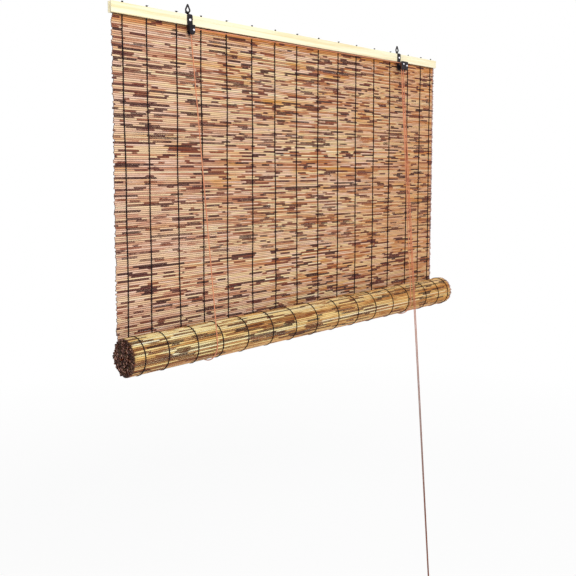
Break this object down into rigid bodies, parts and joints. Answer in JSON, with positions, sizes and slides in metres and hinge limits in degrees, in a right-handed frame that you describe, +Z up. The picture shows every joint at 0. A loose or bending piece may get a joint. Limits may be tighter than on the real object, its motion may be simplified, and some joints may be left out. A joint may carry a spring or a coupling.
{
  "type": "reed roll up blind",
  "caption": "Roll-up window blind of thin split reeds bound by dark threads, hung by two hooks from a wooden head batten, with lift cords and a side pull.",
  "frame": {"origin": "midway between the two hanging eyes, at the height where a hook bears inside them", "axes": "+X along the head batten to the right as seen from the room, -Y towards the room, +Z up"},
  "size_m": [1.01, 0.1716, 1.4143],
  "materials": {
    "reed": "matte",
    "rolled_reed": "satin",
    "batten_wood": "matte",
    "thread": "matte",
    "dark_metal": "satin",
    "bright_metal": "satin",
    "sheave_metal": "satin",
    "cord": "matte"
  },
  "bodies": {
    "head": {"head_batten_front": "batten_wood", "head_batten_back": "batten_wood", "reed_mat": "reed", "warp_threads_front": "thread", "warp_threads_back": "thread", "thread_knots": "thread", "hanger_left": "dark_metal", "hanger_right": "dark_metal", "eye_left": "dark_metal", "eye_right": "dark_metal", "strap_rivet_left": "bright_metal", "strap_rivet_right": "bright_metal", "sheave_axle_left": "bright_metal", "sheave_axle_right": "bright_metal", "cam_pivot": "bright_metal", "anchor_knot_left": "cord", "anchor_knot_right": "cord", "transfer_cord": "cord", "lift_cord_right_wrap": "cord", "lift_cord_left_front": "cord", "lift_cord_left_back": "cord", "lift_cord_right_front": "cord", "lift_cord_right_back": "cord", "pull_cord_front": "cord", "pull_cord_rear": "cord"},
    "cradle": {"lift_cord_left_bight": "cord", "lift_cord_right_bight": "cord"},
    "roll": {"reed_roll": "rolled_reed", "roll_thread_rings": "thread"},
    "wheel_left": {"sheave_left": "sheave_metal"},
    "wheel_right_rear": {"sheave_right_rear": "sheave_metal"},
    "wheel_right_front": {"sheave_right_front": "sheave_metal"},
    "cam": {"locking_cam": "sheave_metal"},
    "pull": {"pull_knot": "cord"}
  },
  "joints": [
    {"name": "roll_lift", "type": "slide", "parent": "head", "child": "cradle", "axis": [0, 0, 1], "range_m": [-0.37, 0.45], "deforming": ["reed_mat", "warp_threads_front", "warp_threads_back", "lift_cord_left_front", "lift_cord_right_front", "lift_cord_left_back", "lift_cord_right_back"]},
    {"name": "roll_spin", "type": "hinge", "parent": "cradle", "child": "roll", "pos_m": [0, -0.0365, -0.6567], "axis": [1, 0, 0], "range_deg": [-720, 600]},
    {"name": "pull_draw", "type": "slide", "parent": "head", "child": "pull", "axis": [-0.048, -0.1052, -0.9933], "range_m": [-0.75, 0.91], "deforming": ["pull_cord_front", "pull_cord_rear"]},
    {"name": "sheave_left_turn", "type": "hinge", "parent": "head", "child": "wheel_left", "pos_m": [-0.331, -0.0099, -0.0492], "axis": [0, 1, 0], "continuous": true},
    {"name": "sheave_right_rear_turn", "type": "hinge", "parent": "head", "child": "wheel_right_rear", "pos_m": [0.3365, -0.0099, -0.0465], "axis": [0, 1, 0], "continuous": true},
    {"name": "sheave_right_front_turn", "type": "hinge", "parent": "head", "child": "wheel_right_front", "pos_m": [0.3365, -0.015, -0.0465], "axis": [0, 1, 0], "continuous": true},
    {"name": "cam_lock", "type": "hinge", "parent": "head", "child": "cam", "pos_m": [0.3505, -0.0129, -0.0497], "axis": [0, -1, 0], "range_deg": [0, 35]}
  ],
  "couplings": [
    {"joint": "roll_spin", "follows": "roll_lift", "rad_per_m": -27.397},
    {"joint": "pull_draw", "follows": "roll_lift", "ratio": 2},
    {"joint": "sheave_left_turn", "follows": "roll_lift", "rad_per_m": 526.32},
    {"joint": "sheave_right_rear_turn", "follows": "roll_lift", "rad_per_m": 526.32},
    {"joint": "sheave_right_front_turn", "follows": "roll_lift", "rad_per_m": 526.32}
  ]
}
